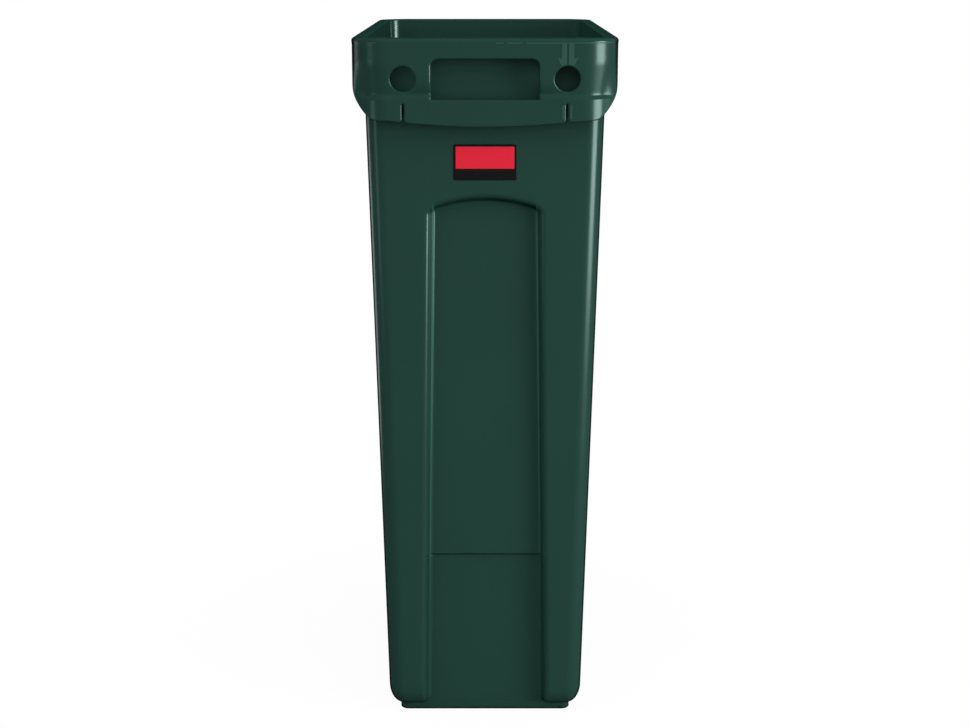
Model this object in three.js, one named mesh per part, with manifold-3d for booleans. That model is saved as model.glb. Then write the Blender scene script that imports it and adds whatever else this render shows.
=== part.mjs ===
// A slim vented waste receptacle: a tapered tub under a deep rim collar, four venting channels inside its long
// walls, an inset foot ring and a two-piece label on one narrow end. Millimetres, +Z up, the origin at the middle
// of the foot print, the labelled narrow end towards -Y.
import * as THREE from 'three';
import { mergeVertices } from 'three/addons/utils/BufferGeometryUtils.js';
import Module from 'manifold-3d';

const wasm = await Module();
wasm.setup();

// Overall size
const overallWidth = 279.4;
const overallLength = 558.8;
const overallHeight = 762;

// Rim collar
const collarCornerRadius = 40;
const collarWall = 3;
const webThickness = 3;
const rimEdgeRadius = 2.5;
const endSkirtDepth = 90.8;
const endSkirtBow = 6;
const sideSkirtDepth = 32;
const edgeSweepStart = 2;
const edgeSweepLength = 95;
const scoopTopDepth = 28;
const scoopInset = 7.2;
const ledgeDepth = 56.4;
const ledgeDrop = 1.6;
const apronInset = 4.7;
const ledgeToEdge = 8;
const scoopFadeShares = [0.45, 0.85];
const apronFadeShares = [0.3, 0.6];
const scoopTopShare = 0.5;

// Hand openings and bag-cinch holes in the collar's narrow ends
const handWidth = 112;
const handTopDepth = 20.4;
const handBottomDepth = 62;
const handCornerRadius = 8;
const cinchCentreDistance = 171;
const cinchDiameter = 27;
const cinchDepth = 40.8;
const slotTopDepth = 66.6;
const slotWidth = 3;
const slotMouthWidth = 9;
const slotFlareHeight = 5;

// Tub
const sideSkirtGap = 8.3;
const endSkirtGap = 19;
const tubWall = 3;
const tubBaseWidth = 216.6;
const tubBaseLength = 478;
const tubTopCornerRadius = 20;
const tubBaseCornerRadius = 18;
const lowerEdgeRise = 21;
const floorRise = 9.2;

// Arch-topped recess in each narrow end
const recessTopWidth = 121.6;
const recessBaseWidth = 137.8;
const recessTopDepth = 166.4;
const recessArchRadius = 160;
const recessShoulderRadius = 6;
const recessDepth = 13.5;
const recessSideDraft = 5.8;
const recessStepHeight = 190.9;
const recessStepDepth = 3;

// Foot ring
const plinthHeight = 10.5;
const plinthInset = 12;
const plinthRingWidth = 5;
const plinthCornerRadius = 9;

// Venting channels and their air inlets
const channelWidth = 60;
const channelCrestWidth = 44;
const channelDepth = 16;
const channelWall = 2.5;
const channelCentreDistance = 272;
const channelTopDrop = 16;
const channelFootClearance = 30;
const inletWidth = 36;
const inletHeight = 9;
const inletDepth = 26.5;

// Label on the front narrow end
const labelWidth = 67;
const labelHeight = 38.2;
const labelCornerRadius = 2.5;
const labelCentreDepth = 129.5;
const labelThickness = 1;
const labelProud = 0.4;
const labelFaceWidth = 61.8;
const labelFaceHeight = 23.3;
const labelFaceThickness = 0.4;
const labelFaceProud = 0.2;
const labelFaceTopMargin = 2.6;
const seatClearance = 0.3;

// How far a cutter runs past the face that it cuts
const cutOverrun = 5;

// How finely the round stretches are stepped
const cornerSteps = 8;
const collarCornerSteps = 10;
const lowerEdgeSteps = 5;
const archSteps = 10;
const shoulderSteps = 3;
const rimEdgeSteps = 2;
const scoopSteps = 4;
const holeSteps = 28;
const bendSteps = 5;
const endFlatSteps = 5;
const sideSweepSteps = 5;

// Sizes that follow from the ones above
const tubTopSideInset = collarWall + sideSkirtGap;
const tubTopEndInset = collarWall + endSkirtGap;
const tubTopWidth = overallWidth - 2 * tubTopSideInset;
const tubTopLength = overallLength - 2 * tubTopEndInset;
const tubTopHeight = overallHeight - webThickness;
const lowerEdgeHeight = plinthHeight + lowerEdgeRise;
const floorTop = plinthHeight + floorRise + tubWall;
const webEndReach = tubTopEndInset + tubWall;
const webSideReach = tubTopSideInset + tubWall;
const mouthCornerRadius = tubTopCornerRadius - tubWall;
const endFlatHalf = overallWidth / 2 - collarCornerRadius;
const sideFlatHalf = overallLength / 2 - collarCornerRadius;
const cornerRun = collarCornerRadius * Math.PI / 2;
const mouthEndShare = (overallWidth / 2 - webSideReach - mouthCornerRadius) / endFlatHalf;
const mouthSideShare = (overallLength / 2 - webEndReach - mouthCornerRadius) / sideFlatHalf;
const recessTopHeight = overallHeight - recessTopDepth;
const lowerPanelDepth = recessDepth + recessStepDepth;
const labelCentreHeight = overallHeight - labelCentreDepth;
const labelFaceCentre = labelHeight / 2 - labelFaceTopMargin - labelFaceHeight / 2;

const green = 0x24403a;
const greenInside = 0x1e3731;
const red = 0xc8102e;
const black = 0x161616;

function material(color, roughness) {
  return new THREE.MeshStandardMaterial({ color, roughness, metalness: 0 });
}

function mix(from, to, share) {
  return from + (to - from) * share;
}

function smooth(share) {
  const s = THREE.MathUtils.clamp(share, 0, 1);
  return s * s * (3 - 2 * s);
}

function smoother(share) {
  const s = THREE.MathUtils.clamp(share, 0, 1);
  return s * s * s * (s * (6 * s - 15) + 10);
}

// A closed body from points and triangles, turned inside out if its faces point inwards
function body(points, triangles) {
  const volume = triangles.reduce((sum, [a, b, c]) => {
    const normal = new THREE.Vector3().crossVectors(points[b], points[c]);
    return sum + points[a].dot(normal);
  }, 0);
  const index = triangles.flatMap(([a, b, c]) => (volume > 0 ? [a, b, c] : [a, c, b]));
  const geometry = new THREE.BufferGeometry();
  geometry.setAttribute('position', new THREE.Float32BufferAttribute(points.flatMap((p) => p.toArray()), 3));
  geometry.setIndex(index);
  return geometry;
}

// Two triangles for each cell between neighbouring loops of equal length
function skin(loopCount, pointCount, closedAlong) {
  const triangles = [];
  const bands = closedAlong ? loopCount : loopCount - 1;
  for (let i = 0; i < bands; i += 1) {
    const near = i * pointCount;
    const far = ((i + 1) % loopCount) * pointCount;
    for (let j = 0; j < pointCount; j += 1) {
      const next = (j + 1) % pointCount;
      triangles.push([near + j, near + next, far + next], [near + j, far + next, far + j]);
    }
  }
  return triangles;
}

// A solid through a stack of loops, closed by a fan at each end
function loft(loops) {
  const count = loops[0].length;
  const points = loops.flat();
  const triangles = skin(loops.length, count, false);
  for (const [loop, start, flip] of [[loops[0], 0, true], [loops.at(-1), points.length - count, false]]) {
    const middle = points.length;
    const centre = new THREE.Vector3();
    loop.forEach((p) => centre.addScaledVector(p, 1 / count));
    points.push(centre);
    for (let j = 0; j < count; j += 1) {
      const here = start + j;
      const next = start + (j + 1) % count;
      triangles.push(flip ? [middle, next, here] : [middle, here, next]);
    }
  }
  return body(points, triangles);
}

function toSolid(geometry) {
  const bare = geometry.clone();
  bare.deleteAttribute('normal');
  bare.deleteAttribute('uv');
  const merged = mergeVertices(bare);
  const vertProperties = new Float32Array(merged.attributes.position.array);
  const triVerts = new Uint32Array(merged.index.array);
  return new wasm.Manifold(new wasm.Mesh({ numProp: 3, vertProperties, triVerts }));
}

function toGeometry(solid) {
  const mesh = solid.getMesh();
  const geometry = new THREE.BufferGeometry();
  geometry.setAttribute('position', new THREE.BufferAttribute(new Float32Array(mesh.vertProperties), 3));
  geometry.setIndex(new THREE.BufferAttribute(new Uint32Array(mesh.triVerts), 1));
  return geometry;
}

function cutAway(solid, cutters) {
  return cutters.reduce((rest, cutter) => rest.subtract(cutter), solid);
}

function piece(name, geometry, look) {
  const bare = geometry.clone();
  bare.computeVertexNormals();
  const mesh = new THREE.Mesh(bare, look);
  mesh.name = name;
  return mesh;
}

// A rounded rectangle lying level at one height, anticlockwise seen from above
function roundedLoop(halfWidth, halfLength, radius, height) {
  const loop = [];
  for (const [sideX, sideY, quarter] of [[1, -1, -1], [1, 1, 0], [-1, 1, 1], [-1, -1, 2]]) {
    for (let step = 0; step <= cornerSteps; step += 1) {
      const angle = Math.PI / 2 * (quarter + step / cornerSteps);
      const x = sideX * (halfWidth - radius) + radius * Math.cos(angle);
      const y = sideY * (halfLength - radius) + radius * Math.sin(angle);
      loop.push(new THREE.Vector3(x, y, height));
    }
  }
  return loop;
}

// Half width and half length of the tub's outer face at a height
function tubHalves(height) {
  const share = height / overallHeight;
  return {
    width: mix(tubBaseWidth, tubTopWidth, share) / 2,
    length: mix(tubBaseLength, tubTopLength, share) / 2,
    radius: mix(tubBaseCornerRadius, tubTopCornerRadius, share),
  };
}

function tubLoop(height, inset) {
  const { width, length, radius } = tubHalves(height);
  return roundedLoop(width - inset, length - inset, radius - inset, height);
}

// The tub's outside or, with a wall, its inside: an elliptical lower edge, then straight tapered sides
function tubVolume(wall, top) {
  const loops = [];
  for (let step = 0; step <= lowerEdgeSteps; step += 1) {
    const angle = Math.PI / 2 * step / lowerEdgeSteps;
    const height = lowerEdgeHeight - (lowerEdgeRise - wall) * Math.cos(angle);
    const inset = wall + (plinthInset - wall) * (1 - Math.sin(angle));
    loops.push(tubLoop(height, inset));
  }
  loops.push(tubLoop(top, wall));
  return loft(loops);
}

// The recess's outline in the plane of the narrow end: straight sides that spread downwards, two rounded
// shoulders and an arched top. grow pushes it outwards on every side.
function recessOutline(topHeight, bottomHeight, grow) {
  const halfAt = (height) => mix(recessBaseWidth, recessTopWidth, height / recessTopHeight) / 2 + grow;
  const shoulderRadius = recessShoulderRadius + grow;
  const archRadius = recessArchRadius + grow;
  const archCentre = recessTopHeight + grow - archRadius;
  const shoulderX = halfAt(recessTopHeight) - shoulderRadius;
  const shoulderZ = archCentre + Math.sqrt((archRadius - shoulderRadius) ** 2 - shoulderX ** 2);
  const archAngle = Math.asin(shoulderX / (archRadius - shoulderRadius));
  const right = [];
  if (topHeight > shoulderZ) {
    for (let step = 0; step <= shoulderSteps; step += 1) {
      const angle = mix(0, Math.PI / 2 - archAngle, step / shoulderSteps);
      const x = shoulderX + shoulderRadius * Math.cos(angle);
      right.push([x, shoulderZ + shoulderRadius * Math.sin(angle)]);
    }
    for (let step = 1; step < archSteps; step += 1) {
      const angle = mix(archAngle, 0, step / archSteps);
      right.push([archRadius * Math.sin(angle), archCentre + archRadius * Math.cos(angle)]);
    }
  } else {
    right.push([halfAt(topHeight), topHeight]);
  }
  const upper = topHeight > shoulderZ ? [[0, archCentre + archRadius]] : [];
  const left = right.map(([x, z]) => [-x, z]).reverse();
  return [[halfAt(bottomHeight), bottomHeight], ...right, ...upper, ...left, [-halfAt(bottomHeight), bottomHeight]];
}

// A cutter that sinks the recess, or its lower panel, into one narrow end. It follows the sloping face.
function recessCutter(endSign, topHeight, depth, grow) {
  const narrowing = recessSideDraft * depth / recessDepth;
  const levels = [
    { out: cutOverrun, inset: 0 },
    { out: 0, inset: 0 },
    { out: -depth, inset: narrowing },
  ];
  const loops = levels.map(({ out, inset }) => {
    const outline = recessOutline(topHeight, -cutOverrun, grow - inset);
    return outline.map(([x, z]) => new THREE.Vector3(x, endSign * (tubHalves(z).length + out), z));
  });
  return toSolid(loft(loops));
}

// Places a body drawn flat on the ground plane onto the front narrow end, its thickness pointing outwards
function ontoFrontFace(geometry, height, out) {
  const slope = Math.atan((tubTopLength - tubBaseLength) / 2 / overallHeight);
  const turned = geometry.clone().rotateX(Math.PI / 2);
  turned.translate(0, -out, 0);
  turned.rotateX(slope);
  turned.translate(0, -tubHalves(height).length, height);
  return turned;
}

function roundedPlate(width, height, radius, thickness) {
  const shape = new THREE.Shape();
  const x = width / 2;
  const y = height / 2;
  shape.moveTo(-x + radius, -y);
  shape.lineTo(x - radius, -y);
  shape.absarc(x - radius, -y + radius, radius, -Math.PI / 2, 0);
  shape.lineTo(x, y - radius);
  shape.absarc(x - radius, y - radius, radius, 0, Math.PI / 2);
  shape.lineTo(-x + radius, y);
  shape.absarc(-x + radius, y - radius, radius, Math.PI / 2, Math.PI);
  shape.lineTo(-x, -y + radius);
  shape.absarc(-x + radius, -y + radius, radius, Math.PI, Math.PI * 1.5);
  return new THREE.ExtrudeGeometry(shape, { depth: thickness, bevelEnabled: false, curveSegments: bendSteps });
}

// Foot ring: its sides stand in from the tub's, and its ends are flush with the recess's lower panel
const plinthHalves = {
  width: tubHalves(plinthHeight).width - plinthInset,
  length: tubHalves(plinthHeight).length - lowerPanelDepth,
};

function plinthVolume(inset, low, high) {
  const loops = [low, high].map((height) => roundedLoop(
    plinthHalves.width - inset,
    plinthHalves.length - inset,
    plinthCornerRadius - Math.min(inset, plinthRingWidth),
    height,
  ));
  return toSolid(loft(loops));
}

function makePlinth() {
  const ring = plinthVolume(0, 0, plinthHeight);
  const hollow = plinthVolume(plinthRingWidth, -cutOverrun, plinthHeight + cutOverrun);
  return toGeometry(ring.subtract(hollow));
}

// Air inlets through the tub's long walls, above each channel's open side and behind the collar's skirt
function inletCutters() {
  const cutters = [];
  const slot = roundedPlate(inletWidth, inletHeight, inletHeight / 2, overallWidth);
  slot.translate(0, 0, -overallWidth / 2);
  slot.rotateX(Math.PI / 2);
  slot.rotateZ(Math.PI / 2);
  for (const end of [-1, 1]) {
    const place = slot.clone().translate(0, end * channelCentreDistance / 2, overallHeight - inletDepth);
    cutters.push(toSolid(place));
  }
  return cutters;
}

function makeTub() {
  const outside = toSolid(tubVolume(0, tubTopHeight));
  const pocketTop = plinthHeight + floorRise;
  const underFloor = plinthVolume(plinthRingWidth, plinthHeight - cutOverrun, pocketTop);
  const raisedFloor = plinthVolume(plinthRingWidth - tubWall, plinthHeight - cutOverrun, pocketTop + tubWall);
  const inside = cutAway(toSolid(tubVolume(tubWall, tubTopHeight + cutOverrun)), [
    raisedFloor,
    ...[-1, 1].flatMap((end) => [
      recessCutter(end, recessTopHeight + cutOverrun, recessDepth + tubWall, tubWall),
      recessCutter(end, recessStepHeight + tubWall, lowerPanelDepth + tubWall, tubWall),
    ]),
  ]);
  const labelSeat = roundedPlate(
    labelWidth + 2 * seatClearance,
    labelHeight + 2 * seatClearance,
    labelCornerRadius + seatClearance,
    cutOverrun,
  );
  const seatDepth = labelThickness - labelProud + seatClearance;
  return toGeometry(cutAway(outside, [
    underFloor,
    inside,
    ...[-1, 1].flatMap((end) => [
      recessCutter(end, recessTopHeight + cutOverrun, recessDepth, 0),
      recessCutter(end, recessStepHeight, lowerPanelDepth, 0),
    ]),
    ...inletCutters(),
    toSolid(ontoFrontFace(labelSeat, labelCentreHeight, -seatDepth)),
  ]));
}

// How far down the collar reaches, by the distance along its outline from the middle of a narrow end
function skirtDepthAt(run) {
  const endDepth = endSkirtDepth - endSkirtBow * Math.min(1, run / endFlatHalf) ** 2;
  return mix(endDepth, sideSkirtDepth, smoother((run - endFlatHalf - edgeSweepStart) / edgeSweepLength));
}

// The collar's skirt and rim edge at one place, as inset from its outer face and depth below the rim
function collarSection(run) {
  const turn = (run - endFlatHalf) / cornerRun;
  const fade = ([start, end]) => 1 - smooth((turn - start) / (end - start));
  const scoop = scoopInset * fade(scoopFadeShares);
  const apron = apronInset * fade(apronFadeShares);
  const edge = skirtDepthAt(run);
  const ledge = Math.min(ledgeDepth, edge - ledgeToEdge);
  const scoopTop = Math.min(scoopTopDepth, ledge * scoopTopShare);
  const face = [];
  for (let step = 0; step <= scoopSteps; step += 1) {
    const share = step / scoopSteps;
    face.push([scoop * share ** 2, mix(scoopTop, ledge, share)]);
  }
  face.push([apron, ledge + Math.min(ledgeDrop, ledgeToEdge / 2)]);
  face.push([apron, edge]);
  const rimEdge = [];
  for (let step = 0; step <= rimEdgeSteps; step += 1) {
    const angle = Math.PI / 2 * step / rimEdgeSteps;
    rimEdge.push([rimEdgeRadius * (1 - Math.sin(angle)), rimEdgeRadius * (1 - Math.cos(angle))]);
  }
  const back = face.map(([inset, depth]) => [inset + collarWall, depth]).reverse();
  return [...rimEdge, ...face, ...back, [collarWall, webThickness]];
}

// Places along a quarter of the collar's outline, from the middle of the front end to the middle of the right side
function quarterRuns() {
  const runs = [];
  for (let step = 0; step < endFlatSteps; step += 1) {
    runs.push(endFlatHalf * step / endFlatSteps);
  }
  for (let step = 0; step < collarCornerSteps; step += 1) {
    runs.push(endFlatHalf + cornerRun * step / collarCornerSteps);
  }
  const sweepEnd = endFlatHalf + Math.max(edgeSweepStart + edgeSweepLength, cornerRun);
  for (let step = 0; step <= sideSweepSteps; step += 1) {
    runs.push(mix(endFlatHalf + cornerRun, sweepEnd, step / sideSweepSteps));
  }
  return runs;
}

// At a distance along that quarter: the outward direction, the point on the collar's outer face and the point
// on the edge of the mouth, which stands on the tub's inner face
function outlineAt(run) {
  const turn = THREE.MathUtils.clamp((run - endFlatHalf) / collarCornerRadius, 0, Math.PI / 2);
  const out = new THREE.Vector3(Math.sin(turn), -Math.cos(turn), 0);
  const x = Math.min(run, endFlatHalf);
  const y = Math.max(0, run - endFlatHalf - cornerRun) - sideFlatHalf;
  const mouth = new THREE.Vector3(x * mouthEndShare, y * mouthSideShare, 0);
  return {
    out,
    outer: new THREE.Vector3(x, y, 0).addScaledVector(out, collarCornerRadius),
    mouth: mouth.addScaledVector(out, mouthCornerRadius),
  };
}

function collarLoop(run, flipY) {
  const { out, outer, mouth } = outlineAt(run);
  const at = (p, depth) => new THREE.Vector3(p.x, flipY ? -p.y : p.y, overallHeight - depth);
  const section = collarSection(run).map(([inset, depth]) => at(outer.clone().addScaledVector(out, -inset), depth));
  return [at(mouth, 0), ...section, at(mouth, webThickness)];
}

function halfTurned(loop) {
  return loop.map((p) => new THREE.Vector3(-p.x, -p.y, p.z));
}

function handCutter() {
  const shape = new THREE.Shape();
  const x = handWidth / 2;
  shape.moveTo(-x, -handBottomDepth);
  shape.lineTo(x, -handBottomDepth);
  shape.lineTo(x, -handTopDepth - handCornerRadius);
  shape.absarc(x - handCornerRadius, -handTopDepth - handCornerRadius, handCornerRadius, 0, Math.PI / 2);
  shape.lineTo(-x + handCornerRadius, -handTopDepth);
  shape.absarc(-x + handCornerRadius, -handTopDepth - handCornerRadius, handCornerRadius, Math.PI / 2, Math.PI);
  return shape;
}

// A narrow slit that is round at its top and flares where it meets the skirt's lower edge
function slotCutter(centre) {
  const shape = new THREE.Shape();
  const low = -skirtDepthAt(Math.abs(centre));
  const x = slotWidth / 2;
  const mouth = slotMouthWidth / 2;
  shape.moveTo(centre - mouth, low - cutOverrun);
  shape.lineTo(centre + mouth, low - cutOverrun);
  shape.lineTo(centre + mouth, low);
  shape.lineTo(centre + x, low + slotFlareHeight);
  shape.lineTo(centre + x, -slotTopDepth - x);
  shape.absarc(centre, -slotTopDepth - x, x, 0, Math.PI);
  shape.lineTo(centre - x, low + slotFlareHeight);
  shape.lineTo(centre - mouth, low);
  return shape;
}

function cinchCutter(centre) {
  const shape = new THREE.Shape();
  shape.absarc(centre, -cinchDepth, cinchDiameter / 2, 0, Math.PI * 2);
  return shape;
}

// Sinks an outline, drawn across the end and down from the rim, through the skirt of both narrow ends
function throughBothSkirts(shape, steps) {
  const options = { depth: webEndReach + cutOverrun, bevelEnabled: false, curveSegments: steps };
  const front = new THREE.ExtrudeGeometry(shape, options);
  front.rotateX(Math.PI / 2);
  front.translate(0, -overallLength / 2 + webEndReach, overallHeight);
  const rear = front.clone().rotateZ(Math.PI);
  return [toSolid(front), toSolid(rear)];
}

function makeCollar() {
  const runs = quarterRuns();
  const rightSide = [
    ...runs.map((run) => collarLoop(run, false)),
    ...runs.slice(1).reverse().map((run) => collarLoop(run, true)),
  ];
  const loops = [...rightSide, ...rightSide.map(halfTurned)];
  const ring = toSolid(body(loops.flat(), skin(loops.length, loops[0].length, true)));
  const cinchSides = [-cinchCentreDistance / 2, cinchCentreDistance / 2];
  return toGeometry(cutAway(ring, [
    ...throughBothSkirts(handCutter(), bendSteps),
    ...cinchSides.flatMap((centre) => throughBothSkirts(cinchCutter(centre), holeSteps)),
    ...cinchSides.flatMap((centre) => throughBothSkirts(slotCutter(centre), bendSteps)),
  ]));
}

// One channel: a long trough, closed at the top, whose open side faces the tub's long wall
function channelVolume(side, centre, width, crestWidth, back, crest, low, high) {
  const loops = [low, high].map((height) => {
    const wallX = tubHalves(height).width - tubWall - seatClearance;
    return [
      new THREE.Vector3(side * (wallX - back), centre - width / 2, height),
      new THREE.Vector3(side * (wallX - back), centre + width / 2, height),
      new THREE.Vector3(side * (wallX - crest), centre + crestWidth / 2, height),
      new THREE.Vector3(side * (wallX - crest), centre - crestWidth / 2, height),
    ];
  });
  return toSolid(loft(loops));
}

function makeChannel(side, end) {
  const centre = end * channelCentreDistance / 2;
  const top = tubTopHeight - channelTopDrop;
  const foot = floorTop + channelFootClearance;
  const shell = channelVolume(side, centre, channelWidth, channelCrestWidth, 0, channelDepth, foot, top);
  const bore = channelVolume(
    side,
    centre,
    channelWidth - 2 * channelWall,
    channelCrestWidth - 2 * channelWall,
    -cutOverrun,
    channelDepth - channelWall,
    foot - cutOverrun,
    top - channelWall,
  );
  return toGeometry(shell.subtract(bore));
}

function makeLabelPlate() {
  const plate = roundedPlate(labelWidth, labelHeight, labelCornerRadius, labelThickness);
  const seatDepth = labelFaceThickness - labelFaceProud + seatClearance;
  const seat = new THREE.BoxGeometry(
    labelFaceWidth + 2 * seatClearance,
    labelFaceHeight + 2 * seatClearance,
    cutOverrun,
  );
  seat.translate(0, labelFaceCentre, labelThickness - seatDepth + cutOverrun / 2);
  const cut = toGeometry(toSolid(plate).subtract(toSolid(seat)));
  return ontoFrontFace(cut, labelCentreHeight, labelProud - labelThickness);
}

function makeLabelFace() {
  const face = new THREE.BoxGeometry(labelFaceWidth, labelFaceHeight, labelFaceThickness);
  face.translate(0, labelFaceCentre, labelFaceThickness / 2);
  return ontoFrontFace(face, labelCentreHeight, labelProud + labelFaceProud - labelFaceThickness);
}

const receptacle = new THREE.Group();
const shellLook = material(green, 0.42);
receptacle.add(piece('container_tub', makeTub(), shellLook));
receptacle.add(piece('rim_collar', makeCollar(), material(green, 0.38)));
receptacle.add(piece('base_plinth', makePlinth(), material(green, 0.45)));
for (const [sideName, side] of [['left', -1], ['right', 1]]) {
  for (const [endName, end] of [['front', -1], ['rear', 1]]) {
    const name = `vent_channel_${sideName}_${endName}`;
    receptacle.add(piece(name, makeChannel(side, end), material(greenInside, 0.45)));
  }
}
receptacle.add(piece('label_plate', makeLabelPlate(), material(black, 0.35)));
receptacle.add(piece('label_face', makeLabelFace(), material(red, 0.3)));

export default receptacle;
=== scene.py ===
import math
import bmesh
import bpy
import numpy as np
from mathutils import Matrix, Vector
from mathutils.geometry import delaunay_2d_cdt


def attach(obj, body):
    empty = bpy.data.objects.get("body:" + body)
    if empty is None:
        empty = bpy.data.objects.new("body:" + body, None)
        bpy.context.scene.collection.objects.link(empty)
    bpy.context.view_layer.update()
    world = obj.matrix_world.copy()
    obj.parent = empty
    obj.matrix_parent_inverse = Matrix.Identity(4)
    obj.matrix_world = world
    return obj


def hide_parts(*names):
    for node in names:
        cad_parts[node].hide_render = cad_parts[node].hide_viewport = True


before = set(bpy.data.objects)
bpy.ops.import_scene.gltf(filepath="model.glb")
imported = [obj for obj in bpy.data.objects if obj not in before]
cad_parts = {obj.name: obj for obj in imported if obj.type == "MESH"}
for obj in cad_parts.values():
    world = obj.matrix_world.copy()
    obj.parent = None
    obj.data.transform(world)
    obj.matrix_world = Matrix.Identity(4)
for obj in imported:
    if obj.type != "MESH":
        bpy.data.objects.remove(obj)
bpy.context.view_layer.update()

mm = 0.001  # every size below is in millimetres until its mesh is made
weldStep = 0.00137
sliverArea = 0.001
print("frame loaded:", len(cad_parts), "nodes")


# Small shape functions

def mix(start, end, share):
    return start + (end - start) * share


def smooth(share):
    s = np.clip(share, 0, 1)
    return s * s * (3 - 2 * s)


def smoother(share):
    s = np.clip(share, 0, 1)
    return s ** 3 * (s * (6 * s - 15) + 10)


def arcSteps(count):
    # Angles of a quarter turn, from 0 to 90 degrees
    return np.linspace(0, np.pi / 2, count + 1)


def edgeProfile(wall, front, back, steps=5):
    # The rounded edge of a wall as (offset from the edge, depth into the wall) pairs: a quarter circle from
    # the front face to the edge, then a smaller one from the edge to the back face
    a = arcSteps(steps)
    b = arcSteps(2)[::-1]
    offset = np.concatenate([front * (1 - np.sin(a)), back * (1 - np.sin(b))])
    depth = np.concatenate([front * (1 - np.cos(a)), wall - back * (1 - np.cos(b))])
    return offset, depth


# Meshes from whole arrays of points

def gridFaces(rows, columns, windows=()):
    # Two triangles for each cell of a grid; cells inside a (row, row, column, column) window are left out
    cells = np.ones((rows - 1, columns - 1), bool)
    for r0, r1, c0, c1 in windows:
        cells[r0:r1, c0:c1] = False
    index = np.arange(rows * columns).reshape(rows, columns)
    a, b = index[:-1, :-1][cells], index[:-1, 1:][cells]
    d, c = index[1:, :-1][cells], index[1:, 1:][cells]
    return np.vstack([np.column_stack([a, b, c]), np.column_stack([a, c, d])])


def gridPart(points, windows=()):
    return points.reshape(-1, 3), gridFaces(points.shape[0], points.shape[1], windows)


def joined(parts):
    starts = np.cumsum([0] + [len(points) for points, _ in parts[:-1]])
    return np.vstack([p for p, _ in parts]), np.vstack([f + s for (_, f), s in zip(parts, starts)])


def mirrored(part, axis):
    points = part[0].copy()
    points[:, axis] *= -1
    return points, part[1]


def addPiece(name, part, material, nodes=(), sharpAngle=50):
    # Points that meet are welded, every face is turned outwards and the piece is given its place in the frame
    points, faces = part
    keys = np.round(points / weldStep).astype(np.int64)
    _, first, back = np.unique(keys, axis=0, return_index=True, return_inverse=True)
    faces = back.reshape(-1)[faces]
    whole = (faces[:, 0] != faces[:, 1]) & (faces[:, 1] != faces[:, 2]) & (faces[:, 2] != faces[:, 0])
    mesh = bpy.data.meshes.new(name)
    mesh.from_pydata((points[first] * mm).tolist(), [], faces[whole].tolist())
    work = bmesh.new()
    work.from_mesh(mesh)
    bmesh.ops.recalc_face_normals(work, faces=work.faces)
    openEdges = sum(1 for edge in work.edges if not edge.is_manifold)
    work.to_mesh(mesh)
    work.free()
    mesh.shade_smooth()
    mesh.set_sharp_from_angle(angle=math.radians(sharpAngle))
    mesh.materials.append(material)
    piece = bpy.data.objects.new(name, mesh)
    bpy.context.scene.collection.objects.link(piece)
    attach(piece, "root")
    if nodes:
        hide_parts(*nodes)
    print(f"{name}: {len(mesh.polygons)} triangles, {openEdges} open edges")


# Flat regions with holes

def insideLoop(points, loop):
    # Even-odd rule: how many sides of the loop lie to the right of each point
    x, y = points[:, 0, None], points[:, 1, None]
    x0, y0 = loop.T
    x1, y1 = np.roll(loop, -1, axis=0).T
    crosses = (y0 > y) != (y1 > y)
    rise = np.where(y1 == y0, 1, y1 - y0)
    return (crosses & (x < x0 + (y - y0) * (x1 - x0) / rise)).sum(axis=1) % 2 == 1


def regionFaces(border, holes, inner, margin):
    # Triangles between a border and its holes, through those inner points that keep clear of both
    loops = [border] + holes
    rim = np.vstack(loops)
    gaps = np.sqrt(((inner[:, None] - rim[None]) ** 2).sum(axis=2)).min(axis=1)

    def within(points):
        inside = insideLoop(points, border)
        for hole in holes:
            inside &= ~insideLoop(points, hole)
        return inside

    points = np.vstack([rim, inner[(gaps > margin) & within(inner)]])
    starts = np.cumsum([0] + [len(loop) for loop in loops[:-1]])
    edges = [(s + i, s + (i + 1) % len(loop)) for s, loop in zip(starts, loops) for i in range(len(loop))]
    found = delaunay_2d_cdt([Vector(p) for p in points.tolist()], edges, [], 0, 1e-5, True)
    source = np.array([given[0] for given in found[3]])
    faces = source[np.array(found[2])]
    a, b, c = points[faces].transpose(1, 2, 0)
    faces = faces[np.abs((b - a)[0] * (c - a)[1] - (b - a)[1] * (c - a)[0]) > sliverArea]
    return points, faces[within(points[faces].mean(axis=1))]


def closedRow(values):
    return np.concatenate([values, values[:1]])


# Materials: a fine moulded grain, faint cloudiness and a gloss that varies a little, on Object coordinates,
# with painted shade where a face is seen almost edge on, and on some pieces painted highlight lines and a
# painted contact shadow

def mathNode(nodes, link, operation, *values):
    node = nodes.new("ShaderNodeMath")
    node.operation = operation
    for socket, value in zip(node.inputs, values):
        if isinstance(value, (int, float)):
            socket.default_value = value
        else:
            link(value, socket)
    return node.outputs[0]


def rampNode(nodes, link, source, span, ends, form="SMOOTHSTEP"):
    # From one end to the other while the source crosses the span
    node = nodes.new("ShaderNodeMapRange")
    node.interpolation_type = form
    node.inputs["From Min"].default_value, node.inputs["From Max"].default_value = span
    node.inputs["To Min"].default_value, node.inputs["To Max"].default_value = ends
    link(source, node.inputs["Value"])
    return node.outputs["Result"]


def splitNode(nodes, link, source):
    # X, Y and Z of a place or a direction
    node = nodes.new("ShaderNodeSeparateXYZ")
    link(source, node.inputs[0])
    return node.outputs


def noiseNode(nodes, link, place, size, detail):
    # Noise whose blobs are about so many millimetres across
    node = nodes.new("ShaderNodeTexNoise")
    node.inputs["Scale"].default_value = 1 / (size * mm)
    node.inputs["Detail"].default_value = detail
    link(place, node.inputs["Vector"])
    return node.outputs["Fac"]


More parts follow.
